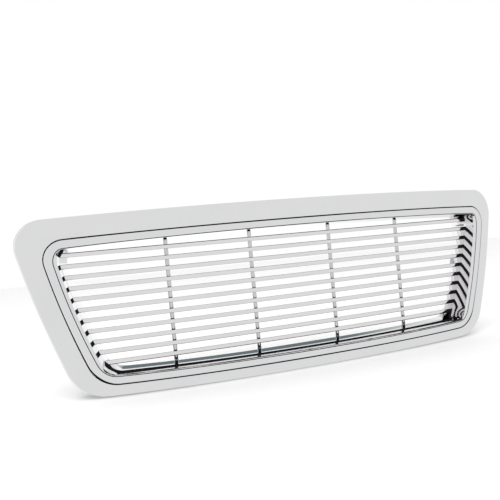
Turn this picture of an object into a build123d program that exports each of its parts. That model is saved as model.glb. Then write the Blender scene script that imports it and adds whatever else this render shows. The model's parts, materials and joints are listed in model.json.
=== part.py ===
from build123d import *
import os
from math import cos, radians, sqrt, tan

# Front grille of a large road vehicle: a bowed chrome surround, a chrome inner bezel, eleven
# bowed bars in one opening, four upright rods, and the black plastic frame behind them.
# X runs across the vehicle, +Y points rearward and +Z up. Sizes are in millimetres.
# The model is drawn about the middle of the opening and moved to the bolt line at the end.

# seam line between surround and bezel, as a rounded trapezoid seen from the front
seam_half_height = 140.5
seam_half_top = 500.0
seam_half_bottom = 416.0
seam_radius_top = 38.0
seam_radius_bottom = 58.0
side_bulge = 8.0
top_crown = 5.5
bottom_crown = 3.0
side_slope = (seam_half_top - seam_half_bottom) / (2 * seam_half_height)

# bow of the seam line in plan: depth = bow_square * x^2 + bow_fourth * x^4
bow_square = 1.5e-4
bow_fourth = 3.4e-10

# outer edge of the surround
surround_side = 39.6
surround_top = 39.2
surround_bottom = 21.0
surround_radius_top = 50.0
surround_radius_bottom = 76.0
surround_fall = tan(radians(25.5))
surround_wall = 3.0
surround_reach = 60.0
skirt_depth = 24.0
lip_depth = 16.0

# inner bezel
seam_gap = 0.5
bezel_width = 16.0
bezel_reach = 33.0
bezel_rise = 2.5
bezel_wall = 3.0
bezel_depth = 52.0
side_draft = tan(radians(25))
top_draft = tan(radians(3))
opening_front = -20.0
opening_back = 130.0

# bars
bar_count = 11
bar_pitch = 20.8
bar_centre_z = 2.0
bar_front_y = 53.0
bar_radius = 4600.0
bar_height = 8.8
bar_back_height = 5.6
bar_depth = 22.0
bar_round = 1.6
bar_half_length = 520.0
tenon_height = 4.0
tenon_front = 7.0
tenon_back = 17.0
tenon_reach = 8.0
tenon_play = 0.15

# upright rods through the bars
rod_places = [-262.0, -90.0, 90.0, 262.0]
rod_radius = 4.2
rod_setback = 12.0
rod_half_height = 131.0
rod_play = 0.05
rod_chamfer = 0.8

# plastic frame behind the bezel
rail_front = 6.0
rail_plate = 4.0
rail_shelf = 28.0
rail_inner_z = 123.4
rail_shelf_height = 9.0
upper_rail_top = 162.0
lower_rail_bottom = 157.0
rail_half_length = 440.0
end_plate_near = 3.2
end_plate_far = 13.0
end_plate_back = 103.0
end_plate_length = 28.0
end_plate_middle = 460.0
end_plate_span = 200.0

# screws, bosses and rivets
boss_radius = 5.0
boss_relief = 0.6
boss_inset = 1.5
pilot_radius = 2.1
pilot_depth = 16.0
screw_radius = 2.0
screw_head_radius = 4.5
screw_head_height = 2.6
screw_length = 15.0
upper_boss_z = 155.0
lower_boss_z = 150.5
upper_screws = [(x, upper_boss_z) for x in (-400, -240, -60, 60, 240, 400)]
lower_screws = [(x, -lower_boss_z) for x in (-360, -220, -60, 60, 220, 360)]

# upper brackets on the bolt line
bracket_places = [-360.0, -120.0, 120.0, 360.0]
bracket_width = 30.0
bracket_steel = 2.5
bolt_line_y = 118.0
bolt_line_z = 166.5
bolt_hole_radius = 3.5
bracket_front = 10.05
bracket_back = bracket_front + bracket_steel
bracket_foot = 136.0
arm_front = 11.0
arm_overhang = 12.0
arm_corner = 6.0
rivet_z = 146.0
rivet_spacing = 18.0
rivet_tail_radius = 3.6
rivet_head_radius = 3.8
rivet_head_height = 1.4
rivet_clearance = 0.6

# lower locating pins
pin_places = {"left": -300.0, "right": 300.0}
pin_radius = 4.0
pin_reach = 22.0
pin_foot_radius = 9.0
pin_foot_height = 3.0
pin_z = -146.0

seal_height = 8.0
seal_depth = 10.0
seal_bevel = 2.0


def bow(x):
    return bow_square * x ** 2 + bow_fourth * x ** 4


def bar_line(x, setback=0.0):
    radius = bar_radius - setback
    return bar_front_y + bar_radius - sqrt(radius ** 2 - x ** 2)


def outline(half_bottom, half_top, low, high, radius_bottom, radius_top):
    # a trapezoid with bulged sides and a crown on its top and bottom edges, corners rounded
    middle = ((half_bottom + half_top) / 2 + side_bulge, (low + high) / 2)
    foot = low + bottom_crown
    brow = high - top_crown
    right = ThreePointArc((half_bottom, foot), middle, (half_top, brow))
    left = ThreePointArc((-half_top, brow), (-middle[0], middle[1]), (-half_bottom, foot))
    base = ThreePointArc((-half_bottom, foot), (0, low), (half_bottom, foot))
    head = ThreePointArc((half_top, brow), (0, high), (-half_top, brow))
    shape = make_face([base, right, head, left])
    shape = fillet(shape.vertices().sort_by(Axis.Y)[:2], radius_bottom)
    return fillet(shape.vertices().sort_by(Axis.Y)[-2:], radius_top)


def at_depth(shape, depth):
    return Plane.XZ.offset(-depth) * shape


def bowed_edge(edge, count):
    steps = [edge @ (i / count) for i in range(count + 1)]
    points = [(p.X, bow(p.X), p.Y) for p in steps]
    ends = []
    for place in (0, 1):
        run = edge % place
        x = (edge @ place).X
        ends.append((run.X, run.X * (2 * bow_square * x + 4 * bow_fourth * x ** 3), run.Y))
    return Spline(*points, tangents=ends)


def seam_path():
    # right-hand half of the seam line, from the middle of the top to the middle of the bottom
    flat = outline(
        seam_half_bottom,
        seam_half_top,
        -seam_half_height,
        seam_half_height,
        seam_radius_bottom,
        seam_radius_top,
    )
    half = flat & Pos(seam_half_top, 0) * Rectangle(2 * seam_half_top, 4 * seam_half_height)
    edges = [e for e in half.edges() if e.center().X > 0.01]
    edges = sorted(edges, key=lambda e: -e.center().Y)
    turned = [e if (e @ 0).Y >= (e @ 1).Y - 1e-6 else e.reversed() for e in edges]
    first, last = turned[0], turned[-1]
    turned[0] = first if (first @ 0).X < (first @ 1).X else first.reversed()
    turned[-1] = last if (last @ 0).X > (last @ 1).X else last.reversed()
    return Wire([bowed_edge(e, 10) for e in turned])


def swept_ring(points):
    # points are (outward from the seam line, rearward of the seam line)
    profile = make_face(Polyline(*[(v, seam_half_height + u) for u, v in points], close=True))
    path = seam_path()
    guide = Pos(0, 100, 0) * path
    half = sweep(Plane.YZ * profile, path=path, binormal=guide)
    return half + half.mirror(Plane.YZ)


def bowed_slab(front, back):
    # everything between two rearward distances from the bow of the seam line
    places = [30 * i for i in range(-19, 20)]
    near_side = Spline(*[(x, bow(x) + front) for x in places])
    far_side = Spline(*[(x, bow(x) + back) for x in places])
    ends = [Line(near_side @ i, far_side @ i) for i in (0, 1)]
    flat = make_face([near_side, far_side, *ends])
    return extrude(flat, 250, both=True)


def opening_solid(margin, front, back):
    # tapered space inside the bezel wall, grown outward by margin
    slant = 1 / cos(radians(16))
    inner_top = seam_half_height - bezel_width
    inset = (bezel_width - margin) * slant
    half_top = seam_half_top - side_slope * bezel_width - inset
    half_bottom = seam_half_bottom + side_slope * bezel_width - inset
    sections = []
    for depth in (front, back):
        high = inner_top + margin - top_draft * depth
        side_top = half_top - side_draft * (depth - bow(half_top))
        side_bottom = half_bottom - side_draft * (depth - bow(half_bottom))
        shape = outline(
            side_bottom,
            side_top,
            -high,
            high,
            seam_radius_bottom - bezel_width + margin,
            seam_radius_top - bezel_width + margin,
        )
        sections.append(at_depth(shape, depth))
    return loft(sections, ruled=True)


def surround_outline(inset):
    low = -seam_half_height - surround_bottom
    high = seam_half_height + surround_top
    half_top = seam_half_top + surround_side + side_slope * surround_top - inset
    half_bottom = seam_half_bottom + surround_side - side_slope * surround_bottom - inset
    return outline(
        half_bottom,
        half_top,
        low + inset,
        high - inset,
        surround_radius_bottom - inset,
        surround_radius_top - inset,
    )


def through(shape):
    return extrude(at_depth(shape, -60), -260)


def flange_front(x, z):
    # depth of the surround's front surface above or below the seam line
    crown = top_crown if z > 0 else bottom_crown
    width = seam_half_top if z > 0 else seam_half_bottom
    seam_z = seam_half_height - crown * (x / width) ** 2
    return bow(x) + (abs(z) - seam_z) * surround_fall


def make_outer_shell():
    reach = surround_reach
    fall = reach * surround_fall
    lip = [(0, 0), (reach, fall), (reach, fall + surround_wall), (surround_wall, surround_wall + 1)]
    lip += [(surround_wall, lip_depth), (0, lip_depth)]
    deep = [(0, 0), (reach, fall), (reach, fall + skirt_depth), (0, skirt_depth)]
    rim = through(surround_outline(0)) - through(surround_outline(surround_wall))
    body = swept_ring(lip) & through(surround_outline(0))
    body += swept_ring(deep) & rim
    for x, z in upper_screws + lower_screws:
        back = bar_line(x, rail_front)
        body += along_y(boss_radius, x, z, flange_front(x, z) + boss_inset, back - boss_relief)
        body -= along_y(pilot_radius, x, z, back - pilot_depth, back + 1)
    return body


def along_y(radius, x, z, front, back):
    return extrude(Plane.XZ.offset(-front) * Pos(x, z) * Circle(radius), -(back - front))


def make_inner_bezel(tenons):
    near = -seam_gap
    far = -bezel_reach
    lip = [(near, bezel_wall), (near, 0), (near - 2, -bezel_rise), (far, -bezel_rise)]
    lip += [(far, bezel_wall)]
    opening = opening_solid(0, opening_front, opening_back)
    wall = opening_solid(bezel_wall, opening_front + 1, opening_back - 1) - opening
    body = swept_ring(lip) - opening
    body += wall & bowed_slab(0, bezel_depth)
    for tenon in tenons:
        body -= tenon
    return body


def bowed_section(points, half_length, z):
    # a section swept along the bars' arc; points are (rearward of the bar fronts, up)
    face = make_face(Polyline(*[(bar_front_y + v, z + u) for v, u in points], close=True))
    path = ThreePointArc(
        (0, bar_front_y, z),
        (half_length / 2, bar_line(half_length / 2), z),
        (half_length, bar_line(half_length), z),
    )
    half = sweep(Plane.YZ * face, path=path)
    return half + half.mirror(Plane.YZ)


def bar_height_at(number):
    return bar_centre_z + bar_pitch * ((bar_count + 1) / 2 - number)


def make_tenon(number, play):
    half = tenon_height / 2 + play
    front = tenon_front - play
    back = tenon_back + play
    points = [(front, -half), (back, -half), (back, half), (front, half)]
    return bowed_section(points, bar_half_length, bar_height_at(number))


def make_bar(number, opening, tenon_space):
    front = bar_height / 2
    back = bar_back_height / 2
    points = [(bar_round, front), (0, front - bar_round), (0, bar_round - front), (bar_round, -front)]
    points += [(bar_depth, -back), (bar_depth, back)]
    body = bowed_section(points, bar_half_length, bar_height_at(number)) & opening
    body += make_tenon(number, 0) & tenon_space
    for x in rod_places:
        body -= rod_cylinder(x, rod_radius + rod_play)
    return body


def rod_cylinder(x, radius):
    return Pos(x, bar_line(x, rod_setback), 0) * Cylinder(radius, 2 * rod_half_height)


def make_rod(x):
    body = rod_cylinder(x, rod_radius)
    return chamfer(body.edges().filter_by(GeomType.CIRCLE), rod_chamfer)


def make_end_plate(side, tenons):
    near = opening_solid(end_plate_near, 20, opening_back)
    far = opening_solid(end_plate_far, 20, opening_back)
    middle = Pos(side * end_plate_middle, end_plate_back - end_plate_length / 2, 0)
    keep = middle * Box(end_plate_span, end_plate_length, 2 * rail_inner_z - 16)
    body = (far - near) & keep & bowed_slab(0, bezel_depth - 1)
    for tenon in tenons:
        body -= tenon
    return body


def make_rail(side, far):
    inner = rail_inner_z
    points = [
        (rail_front, inner),
        (rail_shelf, inner),
        (rail_shelf, inner + rail_shelf_height),
        (rail_front + rail_plate, inner + rail_shelf_height),
        (rail_front + rail_plate, far),
        (rail_front, far),
    ]
    body = bowed_section([(v, side * u) for v, u in points], rail_half_length, 0)
    body -= opening_solid(bezel_wall + 0.1, opening_front, opening_back)
    body &= through(surround_outline(surround_wall + 1))
    for x in rod_places:
        body -= rod_cylinder(x, rod_radius + rod_play)
    for x, z in upper_screws if side > 0 else lower_screws:
        body -= along_y(pilot_radius + 0.2, x, z, 40, 110)
    return body


def make_rail_screws():
    screws = []
    for x, z in upper_screws + lower_screws:
        seat = bar_line(x, rail_front + rail_plate) + 0.5
        shank = along_y(screw_radius, x, z, seat - screw_length, seat + 0.5)
        head = along_y(screw_head_radius, x, z, seat, seat + screw_head_height)
        screws.append(shank + fillet(head.edges().sort_by(Axis.Y)[-1:], 1.2))
    return Compound(children=screws)


def make_bracket(x):
    points = [(bracket_front, bracket_foot), (bracket_back, bracket_foot)]
    points += [(bracket_back, bolt_line_z), (bracket_front, bolt_line_z)]
    leg = bowed_section(points, rail_half_length, 0)
    body = leg & Pos(x, 80, 150) * Box(bracket_width, 120, 60)
    front = bar_line(x, arm_front)
    back = bolt_line_y + arm_overhang
    arm = Pos(x, (front + back) / 2, bolt_line_z - bracket_steel / 2)
    arm = arm * Box(bracket_width, back - front, bracket_steel)
    body += fillet(arm.edges().filter_by(Axis.Z).sort_by(Axis.Y)[-2:], arm_corner)
    body -= Pos(x, bolt_line_y, bolt_line_z) * Cylinder(bolt_hole_radius, 20)
    for hole in rivet_holes(x):
        body -= hole
    return body


def rivet_pair(x):
    return (x - rivet_spacing / 2, x + rivet_spacing / 2)


def rivet_holes(x):
    return [along_y(pilot_radius, place, rivet_z, 40, 110) for place in rivet_pair(x)]


def make_bracket_rivets():
    rivets = []
    for x in bracket_places:
        for place in rivet_pair(x):
            front = bar_line(place, rail_front) - rivet_clearance
            back = bar_line(place, bracket_back) + rivet_clearance
            shank = along_y(screw_radius, place, rivet_z, front - 1, back + 1)
            tail = along_y(rivet_tail_radius, place, rivet_z, front - rivet_head_height, front)
            head = along_y(rivet_head_radius, place, rivet_z, back, back + rivet_head_height)
            rivets.append(shank + tail + head)
    return Compound(children=rivets)


def make_locating_pin(x):
    seat = bar_line(x, rail_front + rail_plate) + 1.0
    foot = along_y(pin_foot_radius, x, pin_z, seat, seat + pin_foot_height)
    pin = along_y(pin_radius, x, pin_z, seat + 1, seat + pin_foot_height + pin_reach)
    pin = chamfer(pin.edges().sort_by(Axis.Y)[-1:], 1.2)
    return foot + pin


def make_upper_seal():
    low = upper_rail_top + 0.2
    high = low + seal_height
    back = rail_front + seal_depth
    points = [(rail_front, low), (back, low), (back, high - seal_bevel)]
    points += [(rail_front + seal_bevel, high), (rail_front, high)]
    body = bowed_section(points, rail_half_length - 20, 0)
    for x in bracket_places:
        body -= Pos(x, 80, low + 5) * Box(bracket_width + 2, 120, 12)
    return body


def save(name, shape):
    export_step(Pos(0, -bolt_line_y, -bolt_line_z) * shape, f"parts/{name}.step")
    print(name, round(shape.volume), len(shape.solids()))


os.makedirs("parts", exist_ok=True)
numbers = range(1, bar_count + 1)
opening = opening_solid(0, opening_front, opening_back)
tenon_space = opening_solid(bezel_wall + tenon_reach, 20, opening_back)
tenon_cuts = [make_tenon(n, tenon_play) for n in numbers]
bars = [make_bar(n, opening, tenon_space) for n in numbers]
bezel = make_inner_bezel(tenon_cuts)

save("outer_shell", make_outer_shell())
save("inner_bezel", bezel)
for n, bar in zip(numbers, bars):
    save(f"bar_{n:02d}", bar)
for n, x in enumerate(rod_places, 1):
    save(f"rod_{n}", make_rod(x))
for side, sign in (("left", -1), ("right", 1)):
    save(f"end_plate_{side}", make_end_plate(sign, tenon_cuts))
holes = [hole for x in bracket_places for hole in rivet_holes(x)]
upper_rail = make_rail(1, upper_rail_top)
for hole in holes:
    upper_rail -= hole
save("upper_rail", upper_rail)
save("lower_rail", make_rail(-1, lower_rail_bottom))
for n, x in enumerate(bracket_places, 1):
    save(f"upper_bracket_{n}", make_bracket(x))
for side, x in pin_places.items():
    save(f"locating_pin_{side}", make_locating_pin(x))
save("rail_screws", make_rail_screws())
save("bracket_rivets", make_bracket_rivets())
save("upper_seal", make_upper_seal())
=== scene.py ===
import json
from math import cos, hypot, pi, radians, sin, sqrt, tan

import bmesh
import bpy
from mathutils import Matrix, Vector


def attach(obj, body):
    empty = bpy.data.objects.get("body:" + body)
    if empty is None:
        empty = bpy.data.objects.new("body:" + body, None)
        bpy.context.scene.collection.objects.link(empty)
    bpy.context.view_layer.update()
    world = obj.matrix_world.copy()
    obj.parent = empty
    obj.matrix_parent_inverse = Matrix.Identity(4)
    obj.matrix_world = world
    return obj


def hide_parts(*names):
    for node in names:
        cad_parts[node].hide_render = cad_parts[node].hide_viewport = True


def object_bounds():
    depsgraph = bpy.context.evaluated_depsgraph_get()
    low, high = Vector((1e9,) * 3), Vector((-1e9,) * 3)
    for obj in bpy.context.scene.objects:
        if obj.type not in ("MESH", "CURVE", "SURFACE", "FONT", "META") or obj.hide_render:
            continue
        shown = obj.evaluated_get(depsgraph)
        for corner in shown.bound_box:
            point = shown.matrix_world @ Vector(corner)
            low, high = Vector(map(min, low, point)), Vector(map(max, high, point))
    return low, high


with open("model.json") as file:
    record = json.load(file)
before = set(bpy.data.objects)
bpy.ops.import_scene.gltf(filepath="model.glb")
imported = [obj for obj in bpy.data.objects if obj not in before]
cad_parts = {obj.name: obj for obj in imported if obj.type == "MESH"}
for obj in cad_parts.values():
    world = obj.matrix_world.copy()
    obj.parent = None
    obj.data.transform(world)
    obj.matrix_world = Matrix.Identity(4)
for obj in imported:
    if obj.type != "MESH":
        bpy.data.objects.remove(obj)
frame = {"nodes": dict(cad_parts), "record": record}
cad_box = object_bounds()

MM = 0.001

# dimensions in millimetres, as in the CAD, measured from the middle of the seam line
BOLT_Y, BOLT_Z = 118.0, 166.5
BOW_SQUARE, BOW_FOURTH = 1.5e-4, 3.4e-10
SEAM = dict(half_bottom=416.0, half_top=500.0, low=-140.5, high=140.5, r_bottom=58.0, r_top=38.0)
SIDE_SLOPE = (SEAM["half_top"] - SEAM["half_bottom"]) / (SEAM["high"] - SEAM["low"])
SIDE_BULGE, TOP_CROWN, BOTTOM_CROWN = 8.0, 5.5, 3.0
RIM_SIDE, RIM_TOP, RIM_BOTTOM, RIM_SHORT = 39.5, 39.2, 21.0, 0.05
FALL = tan(radians(25.5))
SKIRT = 24.0
WALL = 3.0
LIP_DEPTH = 16.0

# the bezel: its wall runs between two depths in the CAD, here with a flare behind the lip
BEZEL_WIDTH, BEZEL_RISE, BEZEL_DEPTH = 16.0, 2.45, 52.0
WALL_FRONT, WALL_REAR, WALL_SLANT = -20.0, 130.0, 1 / cos(radians(16))
SIDE_DRAFT, TOP_DRAFT = tan(radians(25)), tan(radians(3))
FLARE, FLARE_DROP = 5.6, 3.0
NEAR_DRAFT, NEAR_DEPTH = tan(radians(14.5)), 34.0
LOW_FLARE, LOW_DRAFT, LOW_DEPTH = 1.6, tan(radians(8)), 21.0
SEAM_GAP, SIDE_NARROWING, CORNER_WIDENING = 1.6, 0.4, 5.6
WALL_DROPS = (
    0.3, 1.2, 2.6, 3.0, 3.5, 5.0, 8.0, 12.0, 18.0, 23.0, 26.0, 29.0, 31.0, 34.0, 37.0, 40.0,
)
OUTSIDE_DROPS = (22.0, 9.0, 6.5)

# bars, rods and screw bosses
BAR_COUNT, BAR_PITCH, BAR_CENTRE = 11, 20.8, 2.0
BAR_Y, BAR_RADIUS, BAR_STEPS = 53.0, 4600.0, 96
BAR_HEIGHT, BAR_BACK, BAR_DEPTH, BAR_ROUND, BAR_BACK_ROUND = 8.8, 5.6, 22.0, 1.6, 0.5
TENON_HALF, TENON_FRONT, TENON_BACK = 2.0, 7.0, 17.0
TENON_ROOT, TENON_REACH = 4.0, 8.5
ROD_PLACES = (-262.0, -90.0, 90.0, 262.0)
ROD_RADIUS, ROD_SETBACK, ROD_HALF, ROD_WAIST, ROD_CHAMFER = 4.2, 12.0, 131.0, 60.0, 0.8
UPPER_SCREWS = [(x, 155.0) for x in (-400, -240, -60, 60, 240, 400)]
LOWER_SCREWS = [(x, -150.5) for x in (-360, -220, -60, 60, 220, 360)]
BOSS_RADIUS, BOSS_INSET, BOSS_RELIEF, RAIL_FRONT = 5.0, 1.5, 0.6, 6.0
PEG_SIDES, ROD_SIDES, SHARP_EDGE = 24, 40, radians(32)

# the camera: where it stands, and how it is turned right, tilted up and rolled, in degrees
CAMERA_PLACE = (-495.0, -1061.4, 97.9)
CAMERA_TURN, CAMERA_TILT, CAMERA_ROLL = 19.72585, -0.69563, -5.28519
SENSOR_WIDTH, LENS = 36.0, 42.20928

# the lamp, in metres and watts
LAMP_PLACE, LAMP_AIM, LAMP_SIZE, LAMP_POWER = (-1.2, -1.6, 2.6), (0, 0, -0.15), 2.4, 46


def bow(x):
    return BOW_SQUARE * x ** 2 + BOW_FOURTH * x ** 4


def bar_line(x, setback=0.0):
    radius = BAR_RADIUS - setback
    return BAR_Y + BAR_RADIUS - sqrt(radius ** 2 - x ** 2)


def place(x, depth, z):
    return Vector((x, depth - BOLT_Y, z - BOLT_Z)) * MM


# ---------------------------------------------------------------- outlines


def circle_through(a, b, c):
    d = 2 * (a[0] * (b[1] - c[1]) + b[0] * (c[1] - a[1]) + c[0] * (a[1] - b[1]))
    squares = [p[0] ** 2 + p[1] ** 2 for p in (a, b, c)]
    x = (squares[0] * (b[1] - c[1]) + squares[1] * (c[1] - a[1]) + squares[2] * (a[1] - b[1])) / d
    z = (squares[0] * (c[0] - b[0]) + squares[1] * (a[0] - c[0]) + squares[2] * (b[0] - a[0])) / d
    return Vector((x, z)), hypot(a[0] - x, a[1] - z)


def corner_centre(first, second, radius, near):
    # centre of a fillet that touches two circles from inside
    gap = second[0] - first[0]
    apart = gap.length
    r1, r2 = first[1] - radius, second[1] - radius
    along = (apart ** 2 + r1 ** 2 - r2 ** 2) / (2 * apart)
    side = sqrt(max(r1 ** 2 - along ** 2, 0))
    foot = first[0] + gap * (along / apart)
    turn = Vector((-gap.y, gap.x)) / apart * side
    return min((foot + turn, foot - turn), key=lambda p: (p - Vector(near)).length)


def arc(centre, start, end, count):
    # points from start towards end on a circle, the end left out
    radius = (start - centre).length
    sweep = (start - centre).angle_signed(end - centre)
    points = []
    for i in range(count):
        angle = -sweep * i / count
        ray = start - centre
        across = ray.x * cos(angle) - ray.y * sin(angle)
        up = ray.x * sin(angle) + ray.y * cos(angle)
        points.append(centre + Vector((across, up)).normalized() * radius)
    return points


def outline(half_bottom, half_top, low, high, r_bottom, r_top):
    # the rounded, bulged trapezoid, clockwise from the middle of its top edge
    brow, foot = high - TOP_CROWN, low + BOTTOM_CROWN
    middle = ((half_bottom + half_top) / 2 + SIDE_BULGE, (low + high) / 2)
    head = circle_through((-half_top, brow), (0, high), (half_top, brow))
    side = circle_through((half_bottom, foot), middle, (half_top, brow))
    base = circle_through((-half_bottom, foot), (0, low), (half_bottom, foot))
    upper = corner_centre(head, side, r_top, (half_top, brow))
    lower = corner_centre(side, base, r_bottom, (half_bottom, foot))
    marks = [Vector((0, high))]
    for centre, radius, pair in ((upper, r_top, (head, side)), (lower, r_bottom, (side, base))):
        for circle in pair:
            marks.append(centre + (centre - circle[0]).normalized() * radius)
    marks.append(Vector((0, low)))
    centres = [head[0], upper, side[0], lower, base[0]]
    counts = [56, 16, 28, 16, 48]
    right = []
    for i, centre in enumerate(centres):
        right += arc(centre, marks[i], marks[i + 1], counts[i])
    right.append(marks[-1])
    return right + [Vector((-p.x, p.y)) for p in right[-2:0:-1]]


def opening_outline(depth):
    # the inside of the CAD's bezel wall at one depth
    high = SEAM["high"] - BEZEL_WIDTH - TOP_DRAFT * depth
    inset = BEZEL_WIDTH * WALL_SLANT
    top = SEAM["half_top"] - SIDE_SLOPE * BEZEL_WIDTH - inset
    bottom = SEAM["half_bottom"] + SIDE_SLOPE * BEZEL_WIDTH - inset
    top, bottom = (half - SIDE_DRAFT * (depth - bow(half)) for half in (top, bottom))
    return outline(bottom, top, -high, high, SEAM["r_bottom"] - BEZEL_WIDTH, SEAM["r_top"] - BEZEL_WIDTH)


SEAM_LINE = outline(**SEAM)
FRONT_EDGE, REAR_EDGE = opening_outline(WALL_FRONT), opening_outline(WALL_REAR)
RIM_LINE = outline(
    half_bottom=SEAM["half_bottom"] + RIM_SIDE - SIDE_SLOPE * RIM_BOTTOM,
    half_top=SEAM["half_top"] + RIM_SIDE + SIDE_SLOPE * RIM_TOP,
    low=SEAM["low"] - RIM_BOTTOM,
    high=SEAM["high"] + RIM_TOP - RIM_SHORT,
    r_bottom=76.0,
    r_top=50.0,
)


def cad_wall(i, depth):
    return FRONT_EDGE[i].lerp(REAR_EDGE[i], (depth - WALL_FRONT) / (WALL_REAR - WALL_FRONT))


def lip_edge(i):
    # where the wall leaves the lip, and its depth
    depth = bow(SEAM_LINE[i].x) - BEZEL_RISE
    return cad_wall(i, depth), depth


def side_share(i):
    # 1 on the side walls, 0 on the top and bottom walls
    along = FRONT_EDGE[(i + 1) % len(FRONT_EDGE)] - FRONT_EDGE[i - 1]
    return min(1.0, abs(along.y) / along.length / 0.95) ** 2


def wall_point(i, depth):
    # the side walls flare inward near the lip and are steeper behind it; the bottom wall rises more
    edge, start = lip_edge(i)
    straight = depth - start
    flare = min(straight / FLARE_DROP, 1)
    near = min(straight, bar_line(edge.x) - start, NEAR_DEPTH)
    steep = flare * FLARE + max(near - FLARE_DROP, 0) * NEAR_DRAFT - near * SIDE_DRAFT
    raised = 0.0
    if edge.y < 0:
        behind = min(max(straight - FLARE_DROP, 0), LOW_DEPTH)
        raised = flare * LOW_FLARE + behind * (LOW_DRAFT - TOP_DRAFT)
    share = side_share(i)
    inward = -1 if edge.x > 0 else 1
    return cad_wall(i, depth) + Vector((inward * share * steep, (1 - share) * raised))


def wall_x(z, depth):
    # half width of the opening at one height and depth
    low, high = 0, len(SEAM_LINE) // 2
    while high - low > 1:
        middle = (low + high) // 2
        if wall_point(middle, depth).y >= z:
            low = middle
        else:
            high = middle
    a, b = wall_point(low, depth), wall_point(high, depth)
    return a.x + (b.x - a.x) * (a.y - z) / (a.y - b.y)


# ---------------------------------------------------------------- mesh making


def finish_mesh(bm, name):
    bmesh.ops.remove_doubles(bm, verts=bm.verts, dist=1e-6)
    bmesh.ops.recalc_face_normals(bm, faces=bm.faces)
    for face in bm.faces:
        face.smooth = True
    for edge in bm.edges:
        if edge.is_manifold and edge.calc_face_angle() > SHARP_EDGE:
            edge.smooth = False
    mesh = bpy.data.meshes.new(name)
    bm.to_mesh(mesh)
    bm.free()
    piece = bpy.data.objects.new(name, mesh)
    bpy.context.scene.collection.objects.link(piece)
    return piece


def add_grid(bm, rows, closed_rows=True, closed_columns=True):
    grid = [[bm.verts.new(p) for p in row] for row in rows]
    high, wide = len(grid), len(grid[0])
    for r in range(high if closed_rows else high - 1):
        for c in range(wide if closed_columns else wide - 1):
            a, b = grid[r], grid[(r + 1) % high]
            bm.faces.new((a[c], a[(c + 1) % wide], b[(c + 1) % wide], b[c]))
    return grid


def add_peg(bm, x, z, radius, front, back):
    rings = []
    turns = [2 * pi * i / PEG_SIDES for i in range(PEG_SIDES)]
    for depth, r in ((front, radius), (back - 0.5, radius), (back, radius - 0.5)):
        rings.append([place(x + r * cos(t), depth, z + r * sin(t)) for t in turns])
    grid = add_grid(bm, rings, closed_rows=False)
    bm.faces.new(grid[0])
    bm.faces.new(grid[-1])


def rounded(points, radii, steps):
    # a closed section with its corners rounded
    out = []
    for i, point in enumerate(points):
        here = Vector(point)
        before, after = Vector(points[i - 1]), Vector(points[(i + 1) % len(points)])
        to, on = (before - here).normalized(), (after - here).normalized()
        if radii[i] == 0:
            out.append(here)
            continue
        start, end = here + to * radii[i], here + on * radii[i]
        for k in range(steps + 1):
            t = k / steps
            out.append(start * (1 - t) ** 2 + here * (2 * t * (1 - t)) + end * t ** 2)
    return out


def add_ring_columns(bm, columns):
    # columns of (point in the outline's plane, depth), joined round the ring and round the section
    count = len(columns[0])
    rows = [[place(col[r][0].x, col[r][1], col[r][0].y) for col in columns] for r in range(count)]
    add_grid(bm, rows)


# ---------------------------------------------------------------- pieces


def flange_front(x, z):
    # depth of the surround's front above or below the seam line
    crown, width = (TOP_CROWN, SEAM["half_top"]) if z > 0 else (BOTTOM_CROWN, SEAM["half_bottom"])
    return bow(x) + (abs(z) - SEAM["high"] + crown * (x / width) ** 2) * FALL


def make_shell():
    columns = []
    for seam, rim in zip(SEAM_LINE, RIM_LINE):
        out = rim - seam
        reach = out.length
        out.normalize()
        edge = reach * FALL
        inside = WALL + 1
        section = [(0, LIP_DEPTH), (0, 0), (reach, edge), (reach, edge + SKIRT)]
        section += [(reach - WALL, edge + SKIRT), (reach - WALL, edge - WALL * FALL + inside)]
        section += [(WALL, WALL * FALL + inside), (WALL, LIP_DEPTH)]
        line = rounded(section, (0.8, 1.1, 4.5, 0.8, 0.8, 1.5, 1.5, 0.8), 6)
        columns.append([(seam + out * v, bow(seam.x) + u) for v, u in line])
    bm = bmesh.new()
    add_ring_columns(bm, columns)
    for x, z in UPPER_SCREWS + LOWER_SCREWS:
        back = bar_line(x, RAIL_FRONT) - BOSS_RELIEF
        add_peg(bm, x, z, BOSS_RADIUS, flange_front(x, z) + BOSS_INSET, back)
    return finish_mesh(bm, "surround")


def seam_gap(share, z):
    # width of the groove: narrower down the sides, wider round the two lower corners
    corner = CORNER_WIDENING * share * (1 - share) if z < 0 else 0
    return SEAM_GAP - SIDE_NARROWING * share + corner


def make_bezel():
    columns = []
    for i, seam in enumerate(SEAM_LINE):
        edge, start = lip_edge(i)
        across = (edge - seam).length
        inward = (edge - seam).normalized()
        level = bow(seam.x)
        gap = seam_gap(side_share(i), seam.y)
        # the groove with its sloped floor, the lip's flat front, and a fine line along its inside edge
        lip = [(0.1, 9.0), (0.1, 4.0 + 1.2 * gap), (gap, 4.0), (gap, 0.4), (gap + 1.8, -BEZEL_RISE)]
        lip += [(across - 2.2, -BEZEL_RISE), (across - 1.35, -0.3), (across - 0.5, -BEZEL_RISE)]
        radii = (0, 0, 0, 0.8, 1.2, 0.15, 0.15, 0.15)
        column = [(seam + inward * v, level + u) for v, u in rounded(lip, radii, 3)]
        reach = level + BEZEL_DEPTH - start
        drops = [*WALL_DROPS, reach - 0.4, reach]
        column += [(wall_point(i, start + d), start + d) for d in drops]
        for d in (reach, *OUTSIDE_DROPS):
            column.append((wall_point(i, start + d) - inward * WALL, start + d))
        column.append((seam + inward * 12.0, level + 3.0))
        column += [(seam + inward * 4.0, level + u) for u in (3.0, 9.0)]
        columns.append(column)
    bm = bmesh.new()
    add_ring_columns(bm, columns)
    return finish_mesh(bm, "bezel")


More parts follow.
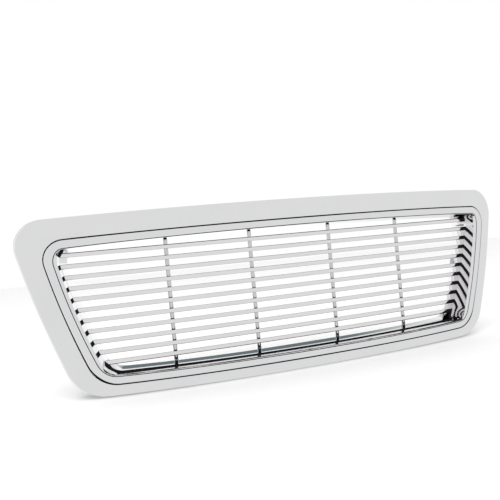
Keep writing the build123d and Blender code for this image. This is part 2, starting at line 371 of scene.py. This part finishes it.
def bar_section():
    half, back = BAR_HEIGHT / 2, BAR_BACK / 2
    corners = [(0, -half), (0, half), (BAR_DEPTH, back), (BAR_DEPTH, -back)]
    return rounded(corners, (BAR_ROUND, BAR_ROUND, BAR_BACK_ROUND, BAR_BACK_ROUND), 5)


def make_bar(number):
    z0 = BAR_CENTRE + BAR_PITCH * ((BAR_COUNT + 1) / 2 - number)
    limit = wall_x(z0, BAR_Y + BAR_DEPTH)
    columns = []
    for i in range(BAR_STEPS + 1):
        x = limit * (i / (BAR_STEPS / 2) - 1)
        column = []
        for v, u in bar_section():
            px = x
            if i in (0, BAR_STEPS):
                # the end follows the bezel wall; a few rounds settle it on the bar's arc
                for _ in range(4):
                    px = wall_x(z0 + u, bar_line(px) + v) * (1 if x > 0 else -1)
            column.append(place(px, bar_line(px) + v, z0 + u))
        columns.append(column)
    bm = bmesh.new()
    grid = add_grid(bm, columns, closed_rows=False)
    bm.faces.new(grid[0])
    bm.faces.new(grid[-1])
    for side in (-1, 1):
        corners = []
        ring = [(TENON_FRONT, -TENON_HALF), (TENON_FRONT, TENON_HALF)]
        ring += [(TENON_BACK, TENON_HALF), (TENON_BACK, -TENON_HALF)]
        for x in (limit - TENON_ROOT, limit + TENON_REACH):
            corners.append([place(side * x, bar_line(x) + v, z0 + u) for v, u in ring])
        tenon = add_grid(bm, corners, closed_rows=False)
        bm.faces.new(tenon[0])
        bm.faces.new(tenon[-1])
    return finish_mesh(bm, f"bar_face_{number:02d}")


def make_rod(number, x):
    # a round upright with chamfered ends
    centre = bar_line(x, ROD_SETBACK)
    tip, shoulder = ROD_RADIUS - ROD_CHAMFER, ROD_HALF - ROD_CHAMFER
    upper = [(ROD_WAIST, ROD_RADIUS), (shoulder, ROD_RADIUS), (ROD_HALF, tip)]
    turns = [2 * pi * i / ROD_SIDES for i in range(ROD_SIDES)]
    rings = []
    for z, r in [(-z, r) for z, r in upper[::-1]] + upper:
        rings.append([place(x + r * cos(t), centre + r * sin(t), z) for t in turns])
    bm = bmesh.new()
    grid = add_grid(bm, rings, closed_rows=False)
    bm.faces.new(grid[0])
    bm.faces.new(grid[-1])
    return finish_mesh(bm, f"upright_{number}")


# ---------------------------------------------------------------- materials


def new_material(name):
    mat = bpy.data.materials.new(name)
    mat.use_nodes = True
    tree = mat.node_tree
    return mat, tree, tree.nodes["Principled BSDF"]


def node(tree, kind, inputs=None, **settings):
    made = tree.nodes.new(kind)
    for key, value in settings.items():
        setattr(made, key, value)
    for key, value in (inputs or {}).items():
        if isinstance(value, bpy.types.NodeSocket):
            tree.links.new(value, made.inputs[key])
        else:
            made.inputs[key].default_value = value
    return made


def spread(tree, factor, low, high, start=0.3, end=0.7):
    # a colour or grey that goes from one value to another as the factor goes from start to end
    ramp = node(tree, "ShaderNodeValToRGB", {"Fac": factor})
    for stop, value, at in zip(ramp.color_ramp.elements, (low, high), (start, end)):
        stop.position = at
        stop.color = (*value, 1) if isinstance(value, tuple) else (value, value, value, 1)
    return ramp.outputs["Color"]


def noise(tree, scale, detail=4.0, rough=0.55, stretch=None):
    coords = node(tree, "ShaderNodeTexCoord").outputs["Object"]
    if stretch:
        coords = node(tree, "ShaderNodeMapping", {"Vector": coords, "Scale": stretch}).outputs[0]
    inputs = {"Vector": coords, "Scale": scale, "Detail": detail, "Roughness": rough}
    return node(tree, "ShaderNodeTexNoise", inputs).outputs["Fac"]


def mix(tree, factor, a, b):
    made = node(tree, "ShaderNodeMix", data_type="RGBA")
    tree.links.new(factor, made.inputs["Factor"])
    for socket, value in ((made.inputs["A"], a), (made.inputs["B"], b)):
        if isinstance(value, tuple):
            socket.default_value = (*value, 1)
        else:
            tree.links.new(value, socket)
    return made.outputs["Result"]


def edge_mask(tree):
    # 1 along outward edges, 0 elsewhere
    point = node(tree, "ShaderNodeNewGeometry").outputs["Pointiness"]
    return spread(tree, point, 0.0, 1.0, 0.52, 0.62)


def add_bump(tree, bsdf, height, strength, distance):
    bump = node(tree, "ShaderNodeBump", {"Height": height, "Strength": strength, "Distance": distance})
    tree.links.new(bump.outputs[0], bsdf.inputs["Normal"])


def chrome(name, low, high, smooth, rough):
    # bright plate: faint haze and wipe marks, slightly duller along the edges
    mat, tree, bsdf = new_material(name)
    haze = spread(tree, noise(tree, 9.0, 5.0), low, high)
    tint = mix(tree, edge_mask(tree), haze, (high[0] * 0.97, high[1] * 0.97, high[2] * 0.98))
    tree.links.new(tint, bsdf.inputs["Base Color"])
    bsdf.inputs["Metallic"].default_value = 1
    wipes = noise(tree, 40.0, 6.0, 0.65, (0.3, 1.0, 2.5))
    tree.links.new(spread(tree, wipes, smooth, rough), bsdf.inputs["Roughness"])
    add_bump(tree, bsdf, noise(tree, 260.0, 2.0), 0.02, 0.0004)
    return mat


def moulded(name, low, high, worn, rough):
    # grained plastic: slightly cloudy, paler where its edges are worn
    mat, tree, bsdf = new_material(name)
    cloud = spread(tree, noise(tree, 14.0, 5.0), low, high)
    tree.links.new(mix(tree, edge_mask(tree), cloud, worn), bsdf.inputs["Base Color"])
    grainy = spread(tree, noise(tree, 60.0, 3.0), rough - 0.08, rough + 0.1)
    tree.links.new(grainy, bsdf.inputs["Roughness"])
    add_bump(tree, bsdf, noise(tree, 900.0, 3.0, 0.6), 0.35, 0.0003)
    return mat


def plated_steel(name, low, high, rough):
    # bare or zinc-plated metal: fine spangle and a drawn grain
    mat, tree, bsdf = new_material(name)
    inputs = {"Vector": node(tree, "ShaderNodeTexCoord").outputs["Object"], "Scale": 160.0}
    flakes = node(tree, "ShaderNodeTexVoronoi", inputs).outputs["Distance"]
    spangle = spread(tree, flakes, low, high, 0.1, 0.7)
    tree.links.new(mix(tree, edge_mask(tree), spangle, high), bsdf.inputs["Base Color"])
    bsdf.inputs["Metallic"].default_value = 1
    dull = spread(tree, noise(tree, 120.0, 5.0), rough - 0.08, rough + 0.14)
    tree.links.new(dull, bsdf.inputs["Roughness"])
    add_bump(tree, bsdf, noise(tree, 400.0, 4.0, 0.6, (0.3, 1.0, 1.0)), 0.2, 0.0002)
    return mat


def foam(name):
    # black closed-cell foam
    mat, tree, bsdf = new_material(name)
    inputs = {"Vector": node(tree, "ShaderNodeTexCoord").outputs["Object"], "Scale": 700.0}
    cells = node(tree, "ShaderNodeTexVoronoi", inputs).outputs["Distance"]
    black = spread(tree, cells, (0.012, 0.012, 0.013), (0.05, 0.05, 0.052), 0.1, 0.6)
    tree.links.new(black, bsdf.inputs["Base Color"])
    bsdf.inputs["Roughness"].default_value = 0.92
    add_bump(tree, bsdf, cells, 0.8, 0.0006)
    return mat


FINISHES = {
    "surround_chrome": chrome("surround_plate", (0.845, 0.848, 0.855), (0.875, 0.876, 0.88), 0.10, 0.16),
    "bezel_chrome": chrome("bezel_plate", (0.83, 0.835, 0.845), (0.86, 0.862, 0.87), 0.03, 0.07),
    "bar_chrome": chrome("bar_plate", (0.85, 0.835, 0.845), (0.88, 0.865, 0.872), 0.04, 0.09),
    "rod_chrome": chrome("rod_plate", (0.62, 0.63, 0.64), (0.74, 0.745, 0.75), 0.05, 0.1),
    "frame_plastic": moulded(
        "black_moulding", (0.011, 0.011, 0.012), (0.022, 0.022, 0.023), (0.05, 0.05, 0.05), 0.5
    ),
    "pin_plastic": moulded(
        "natural_nylon", (0.60, 0.58, 0.52), (0.72, 0.70, 0.64), (0.8, 0.78, 0.72), 0.42
    ),
    "bracket_steel": plated_steel("zinc_sheet", (0.50, 0.51, 0.53), (0.72, 0.73, 0.74), 0.34),
    "screw_steel": plated_steel("zinc_screws", (0.42, 0.42, 0.44), (0.66, 0.66, 0.68), 0.3),
    "rivet_aluminium": plated_steel("plain_rivets", (0.66, 0.66, 0.67), (0.82, 0.82, 0.83), 0.36),
    "seal_foam": foam("seal_cells"),
}
slots = {part["node"]: part["material_slot"] for part in frame["record"]["subparts"]}
for name, cad in frame["nodes"].items():
    for slot in cad.material_slots:
        slot.material = FINISHES[slots[name]]

pieces = [(make_shell(), "outer_shell"), (make_bezel(), "inner_bezel")]
pieces += [(make_bar(n), f"bar_{n:02d}") for n in range(1, BAR_COUNT + 1)]
pieces += [(make_rod(n, x), f"rod_{n}") for n, x in enumerate(ROD_PLACES, 1)]
for piece, name in pieces:
    piece.data.materials.append(FINISHES[slots[name]])
    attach(piece, "root")
    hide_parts(name)

# ---------------------------------------------------------------- studio

WINDOW = (1.12, 1.12, 1.12)
PALE_WALL = (0.82, 0.82, 0.82)
DIM_BAND = (0.15, 0.19, 0.20)
LOST_LIGHT = (0.012, 0.012, 0.013)


def add_object(name, data):
    made = bpy.data.objects.new(name, data)
    bpy.context.scene.collection.objects.link(made)
    return made


def make_floor():
    mesh = bpy.data.meshes.new("floor")
    bm = bmesh.new()
    bmesh.ops.create_grid(bm, x_segments=8, y_segments=8, size=6)
    bm.to_mesh(mesh)
    bm.free()
    made = add_object("floor", mesh)
    made.location = (0, 0, cad_box[0][2] - 0.0005)
    mat, tree, bsdf = new_material("pale_floor")
    pale = spread(tree, noise(tree, 3.0, 2.0), (0.93, 0.93, 0.93), (0.95, 0.95, 0.95))
    tree.links.new(pale, bsdf.inputs["Base Color"])
    bsdf.inputs["Roughness"].default_value = 0.9
    mesh.materials.append(mat)
    made.visible_glossy = False
    return made


def product(tree, *factors):
    total = factors[0]
    for factor in factors[1:]:
        total = node(tree, "ShaderNodeMath", {0: total, 1: factor}, operation="MULTIPLY").outputs[0]
    return total


def over(tree, socket, start, end):
    # 0 below the start, 1 above the end
    return spread(tree, socket, 0.0, 1.0, start, end)


def under(tree, socket, start, end):
    # 1 below the start, 0 above the end
    return spread(tree, socket, 1.0, 0.0, start, end)


def make_world():
    world = bpy.data.worlds.new("studio")
    bpy.context.scene.world = world
    world.use_nodes = True
    tree = world.node_tree
    ray = node(tree, "ShaderNodeLightPath")
    coords = node(tree, "ShaderNodeTexCoord").outputs["Generated"]
    aim = node(tree, "ShaderNodeSeparateXYZ", {"Vector": coords})
    ax, ay, az = aim.outputs["X"], aim.outputs["Y"], aim.outputs["Z"]
    leftward = node(tree, "ShaderNodeMath", {0: ax, 1: -0.7}, operation="LESS_THAN").outputs[0]
    sideways = node(tree, "ShaderNodeMath", {0: ay}, operation="ABSOLUTE").outputs[0]
    # a pale room: brighter behind the grille and in two side windows, a dim band low at the back
    room = spread(tree, ay, PALE_WALL, WINDOW, 0.8, 0.93)
    left_window = product(tree, under(tree, sideways, 0.12, 0.22), leftward)
    room = mix(tree, left_window, room, WINDOW)
    right_window = product(
        tree,
        over(tree, ax, 0.4, 0.7),
        over(tree, ay, 0.4, 0.6),
        over(tree, az, -0.02, 0.06),
        under(tree, az, 0.25, 0.45),
    )
    room = mix(tree, right_window, room, WINDOW)
    band = product(
        tree, over(tree, az, 0.08, 0.15), under(tree, az, 0.34, 0.46), over(tree, ay, 0.76, 0.84)
    )
    room = mix(tree, band, room, DIM_BAND)
    # light that has been mirrored twice and leaves towards the front is lost
    depth = ray.outputs["Glossy Depth"]
    again = node(tree, "ShaderNodeMath", {0: depth, 1: 1.5}, operation="GREATER_THAN").outputs[0]
    mirrored = mix(tree, product(tree, again, under(tree, ay, 0.0, 0.06)), room, LOST_LIGHT)
    seen = mix(tree, ray.outputs["Is Glossy Ray"], (1.0, 1.0, 1.0), mirrored)
    background = tree.nodes["Background"]
    tree.links.new(seen, background.inputs["Color"])
    background.inputs["Strength"].default_value = 1.0


def make_lamp():
    data = bpy.data.lights.new("softbox", "AREA")
    data.energy = LAMP_POWER
    data.size = LAMP_SIZE
    lamp = add_object("softbox", data)
    lamp.location = LAMP_PLACE
    aim = Vector(LAMP_AIM) - Vector(lamp.location)
    lamp.rotation_euler = aim.to_track_quat("-Z", "Y").to_euler()
    lamp.visible_glossy = False


def make_camera():
    data = bpy.data.cameras.new("camera")
    camera = add_object("camera", data)
    data.sensor_width = SENSOR_WIDTH
    data.lens = LENS
    data.clip_start = 0.01
    turn = Matrix.Rotation(-radians(CAMERA_TURN), 4, "Z")
    tilt = Matrix.Rotation(radians(90 + CAMERA_TILT), 4, "X")
    roll = Matrix.Rotation(radians(CAMERA_ROLL), 4, "Z")
    camera.matrix_world = Matrix.Translation(place(*CAMERA_PLACE)) @ turn @ tilt @ roll
    bpy.context.scene.camera = camera
    bpy.context.scene.view_settings.view_transform = "Standard"


floor = make_floor()
make_world()
make_lamp()
make_camera()
